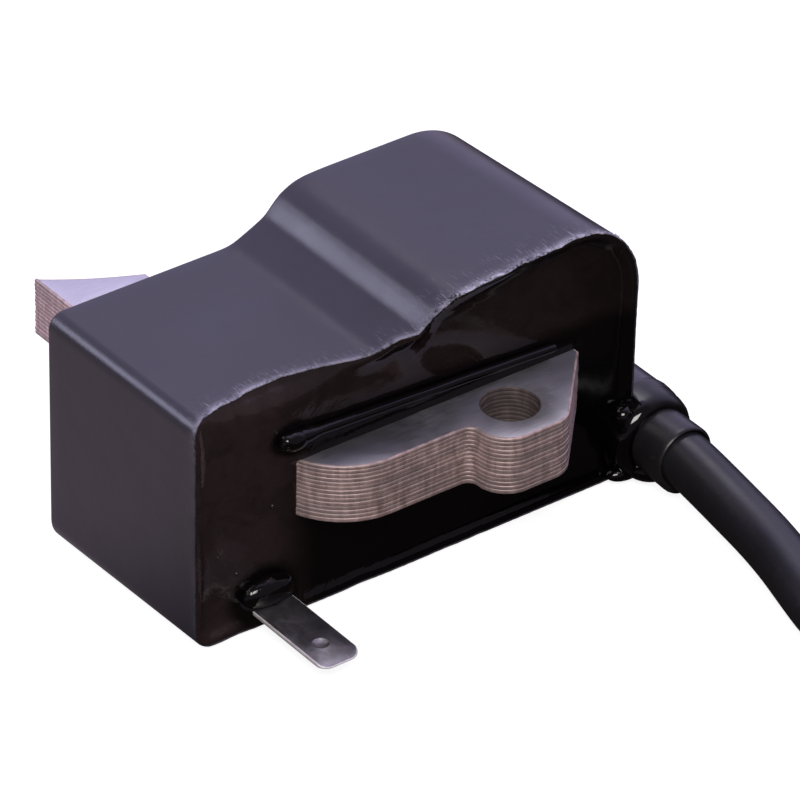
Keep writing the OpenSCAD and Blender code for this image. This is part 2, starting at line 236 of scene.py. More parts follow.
def case_material():
    base = (0.0135, 0.0122, 0.0185)
    m = Mat("case_plastic", base, 0.35, spec=0.5)
    broad = m.noise(42, 4, 0.55, 0.4)
    col = m.mix(m.range(broad, 0.35, 0.65, 0, 1), (0.0115, 0.0105, 0.015), (0.0165, 0.0148, 0.023))
    # scuffed, paler plastic along the trimmed edge of the open face
    wear = m.attr("wear")
    scuff = m.noise(2600, 4, 0.7, 0.6)
    patch = m.noise(420, 2, 0.5)
    hairs = m.noise(1500, 3, 0.6, 0.3, vec=m.scaled((3.0, 0.45, 1.0)))
    amount = m.math("MULTIPLY", wear, m.range(m.math("ADD", scuff, m.math("MULTIPLY", patch, 0.8)), 0.7, 0.96, 0, 1), clamp=True)
    hair = m.math("MULTIPLY", m.attr("wear_wide"), m.range(hairs, 0.56, 0.68, 0, 1), clamp=True)
    amount = m.math("MAXIMUM", amount, m.math("MULTIPLY", hair, 0.75))
    col = m.mix(amount, col, (0.42, 0.41, 0.5))
    # a few fine scratches and specks of dust
    v = m.add("ShaderNodeTexVoronoi", feature="F1")
    v.inputs["Scale"].default_value = 260
    m.link(m.coord.outputs["Object"], v.inputs["Vector"])
    speck = m.math("MULTIPLY", m.range(v.outputs["Distance"], 0.0, 0.045, 1, 0), m.range(m.noise(150, 2), 0.56, 0.62, 0, 1))
    col = m.mix(m.math("MULTIPLY", speck, 0.5), col, (0.12, 0.11, 0.14))
    m.colour(col)
    r = m.range(m.noise(95, 4, 0.6), 0.3, 0.7, 0.29, 0.37)
    m.rough(m.math("ADD", r, m.math("MULTIPLY", amount, 0.3)))
    m.bump(m.noise(3400, 3, 0.6), 0.000012)
    m.bump(m.noise(190, 3), 0.00007)
    m.bump(amount, 0.00008)
    return m.m


def epoxy_material():
    m = Mat("epoxy", (0.004, 0.003, 0.003), 0.07, spec=0.38, ior=1.5)
    x, z = m.axis(0), m.axis(2)
    # painted reflection: the face is tinted warm over the left and upper part, where it mirrors a paler warm ground,
    # and kept near black towards the lower right, where it mirrors shade
    left = m.range(x, 9.5, 16.5, 1, 0, True)
    high = m.range(m.math("ADD", z, m.math("MULTIPLY", x, 0.05)), 22.6, 25.0, 0, 0.62, True)
    right = m.range(x, 44.0, 56.0, 1, 0.45, True)
    reflection_tone = m.math("MULTIPLY", m.math("MAXIMUM", left, high), right)
    # painted reflection: near black round the collar on the tab and round the left end of the ridge, which mirror dark
    near_tab = m.math("SQRT", m.math("ADD", m.math("POWER", m.math("ADD", x, -9.3), 2.0), m.math("POWER", m.math("MULTIPLY", m.math("ADD", z, -3.2), 1.2), 2.0)))
    reflection_tone = m.math("MULTIPLY", reflection_tone, m.range(near_tab, 3.4, 5.6, 0.05, 1, True))
    near_ridge = m.math("SQRT", m.math("ADD", m.math("POWER", m.math("ADD", x, -12.6), 2.0), m.math("POWER", m.math("MULTIPLY", m.math("ADD", z, -21.4), 1.3), 2.0)))
    reflection_tone = m.math("MULTIPLY", reflection_tone, m.range(near_ridge, 1.9, 3.1, 0.05, 1, True))
    patch = m.noise(330, 4, 0.55, 0.9)
    reflection_tone = m.math("MULTIPLY", reflection_tone, m.range(patch, 0.3, 0.65, 0.65, 1.1))
    # the painted reflection's two colours, near black and a mirrored warm tint
    m.colour(m.mix(reflection_tone, (0.0013, 0.001, 0.0011), (0.0235, 0.0155, 0.0155)))
    gloss = m.range(m.noise(520, 4, 0.6), 0.42, 0.7, 0.045, 0.14)
    m.rough(m.math("MAXIMUM", gloss, m.range(x, 57.2, 58.4, 0.0, 0.34, True)))
    swirl = m.noise(380, 4, 0.55, 1.6)
    m.bump(m.math("MULTIPLY", swirl, m.range(x, 14.0, 24.0, 1.0, 0.15, True)), 0.00008)
    m.bump(m.noise(1700, 2, 0.5), 0.000004)
    return m.m


def sheet_face_material():
    """The flat faces of the steel sheets: rolled grain, faint smudges, and painted shade that darkens them where they
    enter the epoxy.
    """
    m = Mat("steel_sheet", (0.40, 0.40, 0.44), 0.42, metal=1.0)
    y = m.axis(1)
    grain = m.noise(2600, 3, 0.6, vec=m.scaled((0.18, 1.6, 1.0)))
    cloud = m.noise(120, 4, 0.6, 0.5)
    # painted shade: towards their roots in the epoxy the faces are blended to a dull grey; painted light lifts the far
    # ends a little
    near = m.range(y, -8.5, -0.8, 1, 0.12, True)
    far = m.range(y, 24.0, 26.0, 0, 0.2)
    unshaded = m.math("MAXIMUM", near, far)
    c = m.mix(m.range(cloud, 0.35, 0.65, 0, 1), (0.66, 0.65, 0.64), (0.86, 0.85, 0.84))
    c = m.mix(m.math("MULTIPLY", m.range(grain, 0.42, 0.68, 0, 1), 0.35), c, (0.4, 0.39, 0.42))
    c = m.mix(unshaded, (0.42, 0.41, 0.45), c)
    m.colour(c)
    m.rough(m.math("ADD", m.range(cloud, 0.3, 0.7, 0.4, 0.52), m.range(grain, 0.3, 0.7, -0.03, 0.06)))
    m.bump(grain, 0.000006)
    m.bump(m.noise(480, 3), 0.00001)
    return m.m


def sheet_edge_material():
    """The sheared edges: warm, dull and streaked across the thickness."""
    m = Mat("steel_edge", (0.3, 0.23, 0.22), 0.5, metal=0.5, spec=0.4)
    streak = m.noise(1500, 3, 0.65, vec=m.scaled((1.0, 1.0, 0.22)))
    layer = m.noise(900, 2, 0.5, vec=m.scaled((0.12, 0.12, 1.6)))
    c = m.mix(m.range(streak, 0.3, 0.7, 0, 1), (0.28, 0.205, 0.195), (0.58, 0.44, 0.42))
    c = m.mix(m.math("MULTIPLY", m.range(layer, 0.45, 0.62, 0, 1), 0.5), c, (0.25, 0.21, 0.21))
    rust = m.noise(700, 4, 0.7)
    c = m.mix(m.math("MULTIPLY", m.range(rust, 0.6, 0.72, 0, 1), 0.5), c, (0.15, 0.07, 0.045))
    # painted shade: the sheared walls of the hole through the sheets are darkened
    from_hole = m.math("SQRT", m.math("ADD", m.math("POWER", m.math("ADD", m.axis(0), -37.5), 2.0), m.math("POWER", m.math("ADD", m.axis(1), 3.9), 2.0)))
    c = m.mix(m.range(from_hole, 3.35, 3.6, 0.75, 0), c, (0.045, 0.036, 0.04))
    m.colour(c)
    m.rough(m.range(streak, 0.3, 0.7, 0.42, 0.6))
    m.bump(streak, 0.00002)
    return m.m


def tin_material():
    m = Mat("tin_plate", (0.4, 0.4, 0.42), 0.42, metal=1.0)
    cloud = m.noise(420, 5, 0.65, 0.7)
    c = m.mix(m.range(cloud, 0.35, 0.66, 0, 1), (0.22, 0.215, 0.225), (0.33, 0.32, 0.335))
    scratch = m.noise(2300, 2, 0.5, 0.25, vec=m.scaled((0.9, 0.16, 1.0)))
    c = m.mix(m.math("MULTIPLY", m.range(scratch, 0.64, 0.72, 0, 1), 0.3), c, (0.66, 0.65, 0.68))
    # painted light: near its root by the case the tab's face is blended towards a flat paler grey, set by position
    # along the tab
    c = m.mix(m.range(m.axis(1), -8.0, -1.5, 1, 0.85, True), (0.34, 0.33, 0.34), c)
    m.colour(c)
    m.rough(m.range(cloud, 0.3, 0.7, 0.38, 0.5))
    m.bump(scratch, 0.000006)
    m.bump(m.noise(700, 3), 0.00001)
    return m.m


def tin_edge_material():
    """The cut edges of the tab, with a painted highlight: a paler copy of the tin that makes them brighter than its
    faces.
    """
    m = Mat("tin_edge_lit", (0.62, 0.6, 0.6), 0.45, metal=0.35, spec=0.5)
    n = m.noise(1500, 3, 0.6, vec=m.scaled((1.0, 0.3, 1.0)))
    m.colour(m.mix(m.range(n, 0.35, 0.65, 0, 1), (0.5, 0.48, 0.48), (0.78, 0.76, 0.75)))
    return m.m


def rubber_material(name, color, rough, dust=0.25, spec=0.4):
    m = Mat(name, color, rough, spec=spec)
    cloud = m.noise(75, 4, 0.6, 0.3)
    fine = m.noise(900, 4, 0.65)
    c = m.mix(m.range(cloud, 0.35, 0.65, 0, 1), tuple(x * 0.8 for x in color), tuple(x * 1.25 for x in color))
    c = m.mix(m.math("MULTIPLY", m.range(fine, 0.6, 0.72, 0, 1), dust), c, tuple(min(1, x * 2.6 + 0.01) for x in color))
    m.colour(c)
    m.rough(m.math("ADD", m.range(cloud, 0.3, 0.7, rough - 0.05, rough + 0.06), m.range(fine, 0.3, 0.7, -0.02, 0.03)))
    m.bump(m.noise(2400, 3), 0.000012)
    m.bump(m.noise(160, 3), 0.00004)
    return m.m


MAT = {
    "case": case_material(),
    "epoxy": epoxy_material(),
    "sheet": sheet_face_material(),
    "edge": sheet_edge_material(),
    "tin": tin_material(),
    "tin_edge_lit": tin_edge_material(),
    "lead": rubber_material("lead_rubber", (0.009, 0.009, 0.011), 0.35, spec=0.42),
    "sleeve": rubber_material("sleeve_rubber", (0.01, 0.0095, 0.0105), 0.33, spec=0.38),
    "boot": rubber_material("boot_rubber", (0.013, 0.013, 0.014), 0.55, 0.4, spec=0.35),
    "spring": metal("spring_steel", (0.55, 0.55, 0.57), 0.28, 0.3),
    "bobbin": plastic("bobbin_nylon", (0.74, 0.7, 0.6), 0.08, 0.4, spec=0.5),
    "board": plastic("board_glass_fibre", (0.05, 0.2, 0.09), 0.3, 0.35, spec=0.5),
    "capacitor": plastic("capacitor_dip", (0.45, 0.11, 0.05), 0.2, 0.2, spec=0.5),
    "package": plastic("black_package", (0.02, 0.02, 0.02), 0.3, 0.4),
    "resistor": plastic("resistor_lacquer", (0.62, 0.5, 0.32), 0.15, 0.25, spec=0.5),
    "tape": plastic("yellow_tape", (0.7, 0.5, 0.1), 0.15, 0.3, spec=0.5),
    "wire": plastic("red_wire", (0.42, 0.04, 0.03), 0.15, 0.35, spec=0.5),
    "brass": metal("brass_strip", (0.72, 0.55, 0.26), 0.3, 0.2),
    "copper": winding_mat("copper_turns", (0.72, 0.31, 0.12), 0.00045),
    "fine": winding_mat("fine_copper_turns", (0.6, 0.23, 0.09), 0.00022),
}


def give(obj, *keys):
    obj.data.materials.clear()
    for k in keys:
        obj.data.materials.append(MAT[k])


for node, key in {
    "charge_coil_bobbin": "bobbin", "charge_winding": "copper", "trigger_winding": "copper",
    "charge_coil_tape": "tape", "primary_bobbin": "bobbin", "primary_winding": "copper",
    "secondary_bobbin": "bobbin", "secondary_winding": "fine", "circuit_board": "board",
    "storage_capacitor": "capacitor", "thyristor": "package", "rectifier_diodes": "package",
    "resistors": "resistor", "stop_wire": "wire", "ground_strap": "brass", "coil_wires": "copper",
    "ht_contact": "brass", "plug_spring": "spring",
}.items():
    give(NODES[node], key)

# ---------------------------------------------------------------- mesh helpers


def new_object(name, bm, smooth_angle=35, mats=()):
    bmesh.ops.recalc_face_normals(bm, faces=bm.faces)
    mesh = bpy.data.meshes.new(name)
    bm.to_mesh(mesh)
    bm.free()
    obj = bpy.data.objects.new(name, mesh)
    bpy.context.scene.collection.objects.link(obj)
    for k in mats:
        mesh.materials.append(MAT[k])
    shade(obj, smooth_angle)
    return obj


def shade(obj, angle):
    mesh = obj.data
    mesh.polygons.foreach_set("use_smooth", [True] * len(mesh.polygons))
    bm = bmesh.new()
    bm.from_mesh(mesh)
    lim = math.radians(angle)
    for e in bm.edges:
        if len(e.link_faces) == 2 and e.calc_face_angle(0) > lim:
            e.smooth = False
    bm.to_mesh(mesh)
    bm.free()


def loops_to_bm(bm, loops, closed=True, mat=0):
    """Bridges rings of points (each a list of the same length, in mm) with quads; returns the rings of vertices."""
    rings = [[bm.verts.new(mm(p)) for p in ring] for ring in loops]
    n = len(rings[0])
    for a, b in zip(rings, rings[1:]):
        for i in range(n if closed else n - 1):
            j = (i + 1) % n
            f = bm.faces.new((a[i], a[j], b[j], b[i]))
            f.material_index = mat
    return rings


def fill_between(bm, rings, mat=0):
    """Fills the flat region bounded by closed rings of existing vertices (the first is the outer one)."""
    edges = []
    for ring in rings:
        for i in range(len(ring)):
            a, b = ring[i], ring[(i + 1) % len(ring)]
            e = bm.edges.get((a, b)) or bm.edges.new((a, b))
            edges.append(e)
    res = bmesh.ops.triangle_fill(bm, use_beauty=True, use_dissolve=False, edges=edges)
    for g in res["geom"]:
        if isinstance(g, bmesh.types.BMFace):
            g.material_index = mat


def arc(cx, cy, r, a0, a1, n):
    return [(cx + r * math.cos(math.radians(a0 + (a1 - a0) * i / n)), cy + r * math.sin(math.radians(a0 + (a1 - a0) * i / n))) for i in range(n + 1)]


def offset_ring(pts, d):
    """Moves each point of a closed counter-clockwise ring d inwards."""
    out = []
    n = len(pts)
    for i, p in enumerate(pts):
        a, b = pts[i - 1], pts[(i + 1) % n]
        t = Vector((b[0] - a[0], b[1] - a[1]))
        t.normalize()
        out.append((p[0] - t.y * d, p[1] + t.x * d))
    return out


def spread(pts, step):
    """Adds points to the long runs of a closed ring so that none is longer than step."""
    out = []
    n = len(pts)
    for i, p in enumerate(pts):
        q = pts[(i + 1) % n]
        k = max(1, math.ceil(math.dist(p, q) / step - 1e-6))
        out += [(p[0] + (q[0] - p[0]) * j / k, p[1] + (q[1] - p[1]) * j / k) for j in range(k)]
    return out


def wob(x, y, z, scale, seed=0.0):
    """Smooth noise from -1 to 1 on a length scale in mm."""
    return noise.noise(Vector((x / scale + seed, y / scale + 3.1 * seed, z / scale - seed)))


# ---------------------------------------------------------------- case
L, D, H1, H2, WALL = 57.5, 26.0, 28.2, 33.6, 1.6
RR, CR, X0 = 8.0, 9.5, 22.2
RA = math.degrees(math.acos(1 - (H2 - H1) / (2 * RR)))
X1 = X0 + 2 * RR * math.sin(math.radians(RA))
BOSS = (59.2, 5.0)
DRAFT = 1.7

# the ramp in the top: it rises gently, then steeply, and rounds over into the hump
RAMP = [(36.5, 33.6), (34.7, 33.58), (33.3, 33.53), (32.1, 33.42), (30.8, 33.1), (29.5, 32.45), (28.7, 31.8), (28.1, 31.2),
        (27.5, 30.57), (27.0, 30.17), (26.3, 29.8), (25.6, 29.46), (24.3, 28.86), (23.2, 28.42), (22.2, 28.24), (21.0, 28.2)]


def ramp_points():
    """The ramp as closely spaced points with their outward normals."""
    p = [Vector((RAMP[0][0] + 1, RAMP[0][1]))] + [Vector(q) for q in RAMP] + [Vector((RAMP[-1][0] - 1, RAMP[-1][1]))]
    dense = []
    for i in range(1, len(p) - 2):
        a, b, c, d = p[i - 1:i + 3]
        for k in range(4):
            t = k / 4
            dense.append(0.5 * ((2 * b) + (c - a) * t + (2 * a - 5 * b + 4 * c - d) * t * t + (3 * b - a - 3 * c + d) * t ** 3))
    dense.append(p[-2])
    out = []
    for i, q in enumerate(dense):
        t = dense[min(i + 1, len(dense) - 1)] - dense[max(i - 1, 0)]
        t.normalize()
        out.append((q.x, q.y, t.y, -t.x))
    return out


def base_outline():
    """The case's outline with outward normals, counter-clockwise from the lower left corner."""
    out = []

    def corner(cx, cy, r, a0, a1, n):
        for x, y in arc(cx, cy, r, a0, a1, n):
            out.append((x, y, (x - cx) / r, (y - cy) / r))

    corner(2.5, 2.5, 2.5, 180, 270, 10)
    corner(L - 2, 2, 2, 270, 360, 8)
    corner(L - CR, H2 - CR, CR, 0, 90, 34)
    for x, y, nx, ny in ramp_points():
        out.append((x, y, nx, ny))
    corner(1.8, H1 - 1.8, 1.8, 90, 180, 8)
    return out


BASE = base_outline()


def outline(t, step=0.3):
    """The case's outline in X and Z, inset by t; the points keep their order and number whatever t is."""
    out = []
    n = len(BASE)
    for i in range(n):
        p, q = BASE[i], BASE[(i + 1) % n]
        k = max(1, math.ceil(math.dist(p[:2], q[:2]) / step - 1e-6))
        a, b = (p[0] - p[2] * t, p[1] - p[3] * t), (q[0] - q[2] * t, q[1] - q[3] * t)
        out += [(a[0] + (b[0] - a[0]) * j / k, a[1] + (b[1] - a[1]) * j / k) for j in range(k)]
    return out


def lean(x, y):
    """How far the right end has drawn in at a distance y behind the open face."""
    back = max(0.0, y) / 26
    return -DRAFT * back * min(1.0, max(0.0, (x - 36.5) / 11.5)) - 0.35 * back * max(0.0, 1 - x / 6)


def sink(x, y, z):
    """How far the bottom has dropped towards the left back corner."""
    return -0.5 * max(0.0, y) / 26 * max(0.0, 1 - z / 3.0) * min(1.0, max(0.0, (50 - x) / 30))


# how far the trimmed edge of the open face lies in front of (-) or behind (+)
# the plane of the face, along the top of the case
RIM = [(-1, 0.1), (0.3, 0.3), (1.5, 0.9), (4.5, 1.7), (8, 2.3), (12.5, 2.6), (16, 1.9), (20, 0.9), (23, 0.3),
       (25.5, -0.5), (27, -1.7), (30, -2.1), (34, -2.2), (38, -1.8), (43, -1.3), (49, -0.8), (54, -0.3), (60, 0)]


def rim_y(x, z):
    """Where the trimmed edge lies, for a point of the outline."""
    xs, ys = [p[0] for p in RIM], [p[1] for p in RIM]
    top = float(np.interp(x, xs, ys))
    # only the top edge wanders; down the ends and along the bottom it is straight
    w = min(1, max(0, (z - 17) / 9)) if x > 40 else min(1, max(0, (z - 24.5) / 3.2))
    y = top * w
    y += 0.16 * wob(x, 0, z, 2.6, 1) * w + 0.07 * wob(x, 0, z, 0.7, 2) * (0.35 + 0.65 * w)
    # chips along the bottom edge
    if z < 1:
        y += 0.25 * max(0, wob(x, 0, 0, 3.3, 5) - 0.1)
    return y


def build_case():
    bm = bmesh.new()
    layer = bm.verts.layers.float.new("wear")
    wide = bm.verts.layers.float.new("wear_wide")
    prof0 = outline(0)
    loops = []
    tags = []

    def ring(t, yfun, tag, draw=1.0):
        out = []
        for (x0, z0), (x, z) in zip(prof0, outline(t)):
            y = yfun(x0, z0)
            out.append((x + draw * lean(x0, y), y, z + draw * sink(x0, y, z0)))
        loops.append(out)
        tags.append(tag)

    def fray(x, z):
        """The trimmed edge is ragged on the hump and cleaner on the lower part."""
        if z < 27:
            return 0.03 * wob(x, 1, z, 0.5, 9)
        k = 0.035 + 0.075 * min(1, max(0, (x - 30) / 6))
        return k * (wob(x, 1, z, 0.55, 9) + 0.6 * wob(x, 3, z, 1.6, 19))

    # inner wall, from the bottom of the cup to the rim
    ring(WALL, lambda x, z: D - WALL, (0, 0), 0.35)
    ring(WALL, lambda x, z: rim_y(x, z) + 1.6, (0, 0), 0.35)
    # the end of the wall, under the epoxy that has crept over it
    ring(WALL - 0.2, lambda x, z: rim_y(x, z) + 1.5, (0, 0))
    ring(0.45, lambda x, z: rim_y(x, z) + 0.75, (0.4, 0.5))
    ring(0.25, lambda x, z: rim_y(x, z) + 0.3, (0.8, 1))
    ring(0.12, lambda x, z: rim_y(x, z) + 0.06 + fray(x, z), (1, 1))
    ring(0.03, lambda x, z: rim_y(x, z) + 0.1 + fray(x + 0.1, z), (1, 1))
    ring(0.0, lambda x, z: rim_y(x, z) + 0.28 + 0.5 * fray(x + 0.2, z), (0.8, 1))
    ring(0.0, lambda x, z: rim_y(x, z) + 0.6, (0.3, 0.9))
    ring(0.0, lambda x, z: rim_y(x, z) + 1.1, (0.05, 0.6))
    ring(0.0, lambda x, z: rim_y(x, z) + 1.9, (0, 0.2))
    ring(0.0, lambda x, z: rim_y(x, z) * 0.5 + 4.0, (0, 0))
    for y in (8, 12, 16, 20, 24):
        ring(0.0, lambda x, z, y=y: y, (0, 0))
    r = 0.4
    for a in range(0, 91, 18):
        ring(r * (1 - math.cos(math.radians(a))) * 0.999, lambda x, z, a=a: D - r + r * math.sin(math.radians(a)), (0, 0))
    rings = loops_to_bm(bm, loops)
    for ring_v, tag in zip(rings, tags):
        for v, (x0, z0) in zip(ring_v, prof0):
            # the ends and the bottom are hardly scuffed
            if z0 > 24:
                k = float(np.interp(x0, (0, 3, 10, 14, 20, 28, 32, 38, 54, 57), (0.2, 0.7, 0.6, 0.35, 0.4, 0.4, 1.0, 1.0, 0.9, 0.2)))
            else:
                k = 0.05
            v[layer], v[wide] = tag[0] * k, tag[1] * (k if z0 > 27 else 0.0)
    # slivers of plastic left where the edge was trimmed
    rnd = random.Random(11)
    spots = [(x, z) for x, z in prof0 if z > 28.1 and (3 < x < 12 or 29 < x < 54.5)]
    for _ in range(250):
        x, z = rnd.choice(spots)
        if x < 12 and rnd.random() < 0.85:
            continue
        long = 1.0 if 29 < x < 38 else 0.7
        start = Vector((x + rnd.uniform(-0.15, 0.15), rim_y(x, z) + rnd.uniform(0.02, 0.55 * long), z - 0.05))
        way = Vector((rnd.uniform(-0.9, 0.7), rnd.uniform(-0.2, 0.8), rnd.uniform(0.12, 0.55))).normalized()
        size, fat = rnd.uniform(0.22, 0.75) * long, rnd.uniform(0.035, 0.075)
        side = way.cross(Vector((0.3, 0.2, 1))).normalized()
        other = way.cross(side)
        foot = [bm.verts.new(mm(start + fat * (math.cos(q) * side + math.sin(q) * other))) for q in (0, 1.26, 2.51, 3.77, 5.03)]
        tip = bm.verts.new(mm(start + way * size))
        for q in range(5):
            bm.faces.new((foot[q], foot[(q + 1) % 5], tip))
        bm.faces.new(foot)
        for v in foot + [tip]:
            v[layer] = rnd.uniform(0.35, 0.95)

    # far wall, inside and outside, with the two slots for the legs of the core
    def slot(x0, x1, y):
        z0, z1 = 11.55, 18.83
        pts = spread([(x0, z0), (x1, z0), (x1, z1), (x0, z1)], 1.0)
        return [bm.verts.new(mm((x, y, z))) for x, z in pts]

    legs = [(10.55, 21.15), (39.35, 49.65)]
    outer = [slot(a, b, D) for a, b in legs]
    inner = [slot(a, b, D - WALL) for a, b in legs]
    fill_between(bm, [rings[-1]] + outer)
    fill_between(bm, [rings[0]] + inner)
    for o, i in zip(outer, inner):
        for k in range(len(o)):
            j = (k + 1) % len(o)
            bm.faces.new((o[k], o[j], i[j], i[k]))
    # the outlet boss, a round pocket on the right end wall
    n = 48
    bx, bz = BOSS
    sec = [(4.3, 12.6), (4.3, 0.35), (4.45, 0.12), (4.8, 0.0), (4.97, 0.12), (5.0, 0.4), (5.0, 3), (5.0, 8), (4.9, 11.5),
           (4.5, 13), (3.6, 14.8), (2.3, 16.3), (1.0, 17.0)]
    loops = []
    for rad, y in sec:
        loops.append([(bx + rad * math.cos(2 * math.pi * i / n), y, bz + rad * math.sin(2 * math.pi * i / n)) for i in range(n)])
    rr = loops_to_bm(bm, loops)
    bm.faces.new(rr[0])
    bm.faces.new(rr[-1])
    return new_object("case_moulding", bm, 40, ["case"])


case = build_case()
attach(case, "root")
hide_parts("case")

# ---------------------------------------------------------------- potting
CORE_Z = (11.7, 18.68)
FACE_Y = 0.95


def rect_dist(x, z, x0, x1, z0, z1):
    """Signed distance to a rectangle, negative inside."""
    dx, dz = max(x0 - x, x - x1), max(z0 - z, z - z1)
    if dx <= 0 and dz <= 0:
        return max(dx, dz)
    return math.hypot(max(dx, 0), max(dz, 0))


def epoxy_y(x, z, edge):
    """Height field of the poured face: edge is how far the point lies inside the outline."""
    y = FACE_Y
    # slow waves left from pouring, stronger at the left
    left = 1 / (1 + math.exp((x - 20) / 5))
    y += 0.05 * wob(x, 0, z, 6.5, 3) + (0.012 + 0.06 * left) * wob(x, 0, z, 2.4, 4) * (1 if z < 24 else 0.5)
    # the epoxy wets the wall up to its trimmed edge
    if edge < 4.5:
        f = min(1, max(0, (edge - 0.2) / 0.45))
        rim = rim_y(x, z) + 0.17 - 0.22 * f * f * (3 - 2 * f)
        e = max(0, edge - 0.45)
        k = math.exp(-((e / 1.15) ** 1.2)) if rim < y else math.exp(-((e / 1.5) ** 1.6))
        y += (rim - y) * k
    # meniscus round the core
    d = rect_dist(x, z, 13.3, 49.4, *CORE_Z)
    if d < 5:
        above = 0.55 if z > CORE_Z[1] else 0.14
        y -= above * math.exp(-((max(d, 0) / 0.9) ** 1.3))
    # and the collar that has climbed the tab
    d = rect_dist(x, z, 7.2, 12.4, 2.0, 2.5)
    if d < 5:
        y -= 1.0 * math.exp(-((max(d, 0) / 1.0) ** 2))
    return y


def build_potting():
    t_edge = 0.2
    ring = outline(t_edge, 0.4)
    ring0 = outline(0, 0.4)
    pts = list(ring)
    seen = len(pts)
    step = 0.4
    poly = np.array(outline(t_edge + 0.22, 0.4))

    def inside(p):
        x, y = p
        a, b = poly, np.roll(poly, -1, 0)
        c = ((a[:, 1] > y) != (b[:, 1] > y)) & (x < (b[:, 0] - a[:, 0]) * (y - a[:, 1]) / (b[:, 1] - a[:, 1] + 1e-12) + a[:, 0])
        return c.sum() % 2 == 1

    rows = int(H2 / (step * 0.866)) + 1
    for j in range(rows):
        z = j * step * 0.866
        for i in range(int(L / step) + 1):
            p = (i * step + (j % 2) * step / 2, z)
            if inside(p):
                pts.append(p)
    outer = np.array(ring0)
    a, b = outer, np.roll(outer, -1, 0)
    ab = b - a
    lens = (ab ** 2).sum(1)

    def edge_dist(x, z):
        p = np.array((x, z))
        t = np.clip(((p - a) * ab).sum(1) / lens, 0, 1)
        return float(np.sqrt((((a + ab * t[:, None]) - p) ** 2).sum(1).min()))

    edges = [(i, (i + 1) % seen) for i in range(seen)]
    vs, _, fs, _, _, _ = geometry.delaunay_2d_cdt([Vector(p) for p in pts], edges, [], 1, 1e-4)
    bm = bmesh.new()
    top = []
    for v in vs:
        e = edge_dist(v.x, v.y)
        top.append(bm.verts.new(mm((v.x, epoxy_y(v.x, v.y, e), v.y))))
    for f in fs:
        bm.faces.new([top[i] for i in f])
    bm.verts.ensure_lookup_table()
    border = [e for e in bm.edges if len(e.link_faces) == 1]
    # sides down to the wall, then along the cavity to its far end
    loop = order_loop(border)
    c = [(v.co.x * 1000 + ORG[0], v.co.y * 1000 + ORG[1], v.co.z * 1000 + ORG[2]) for v in loop]
    prev = loop
    flat = [(p[0], p[2]) for p in c]
    ccw = sum(flat[i - 1][0] * flat[i][1] - flat[i][0] * flat[i - 1][1] for i in range(len(flat))) > 0
    sgn = 1 if ccw else -1
    for inset, dy in ((0.06, 0.14), (0.27, 0.52), (1.42, 1.62), (1.42, None)):
        off = offset_ring(flat, sgn * inset)
        nxt = []
        for (x, z), (x0, y0, z0) in zip(off, c):
            y = D - WALL - 0.01 if dy is None else y0 + dy
            nxt.append(bm.verts.new(mm((x + 0.35 * lean(x0, y) * (inset > 1), y, z))))
        for i in range(len(prev)):
            j = (i + 1) % len(prev)
            bm.faces.new((prev[i], prev[j], nxt[j], nxt[i]))
        prev = nxt
    bm.faces.new(prev)
    # the collar of epoxy in and on the mouth of the outlet boss
    n = 64
    bx, bz = BOSS
    sec = [(3.62, 8.5), (3.62, -2.42), (3.85, -2.58), (4.25, -2.55), (4.65, -2.25), (4.95, -1.7), (5.1, -1.0), (5.16, -0.2), (5.16, 0.8),
           (5.12, 1.5), (5.06, 1.95), (5.005, 2.05), (5.005, 0.42), (4.98, 0.1), (4.8, -0.02), (4.45, 0.1), (4.28, 0.36), (4.28, 8.5)]
    loops = []
    for rad, y in sec:
        one = []
        for i in range(n):
            an = 2 * math.pi * i / n
            low = max(0, math.cos(an - math.radians(215))) ** 2
            out = 1 if rad > 3.7 and y < 2.1 and not (rad < 5.01 and y > -0.1) else 0
            low -= 1.3 * max(0, math.cos(an - math.radians(50))) ** 2
            lump = 0.05 * wob(math.cos(an) * 4, y, math.sin(an) * 4, 3.0, 6) + 0.22 * low * min(1, max(0, (1.2 - y) / 1.2))
            rr_ = rad + out * lump
            yy = y * (1 + out * 0.1 * wob(math.cos(an) * 4, 7, math.sin(an) * 4, 3.0, 6)) if y < -0.1 else y
            one.append((bx + rr_ * math.cos(an), yy, max(0.0, bz + rr_ * math.sin(an))))
        loops.append(one)
    loops.append(loops[0])
    rings = [[bm.verts.new(mm(p)) for p in one] for one in loops[:-1]]
    rings.append(rings[0])
    for a_, b_ in zip(rings, rings[1:]):
        for i in range(n):
            j = (i + 1) % n
            bm.faces.new((a_[i], a_[j], b_[j], b_[i]))
    # a drop that has run from the collar on to the face
    add_drop(bm, (55.4, 0.4, 3.4), (1.5, 0.95, 2.3))
    add_drop(bm, (55.9, -0.3, 8.0), (1.25, 1.2, 1.25), 16, 32)
    # what has run down under the sleeve
    add_drop(bm, (58.6, -1.6, 1.75), (3.0, 3.1, 1.72), 20, 40)
    # the lump above the root of the tab, and two small ones on the face
    add_drop(bm, (9.55, 0.35, 3.95), (3.35, 1.45, 1.75), 20, 40)
    add_drop(bm, (12.73, 0.44, 21.48), (1.9, 1.2, 1.15), 20, 40)
    add_drop(bm, (56.4, -0.55, 1.02), (2.6, 1.3, 1.02), 16, 32)
    add_drop(bm, (10.4, 0.9, 13.9), (0.26, 0.22, 0.3))
    add_drop(bm, (5.9, 0.92, 7.2), (0.24, 0.22, 0.26))
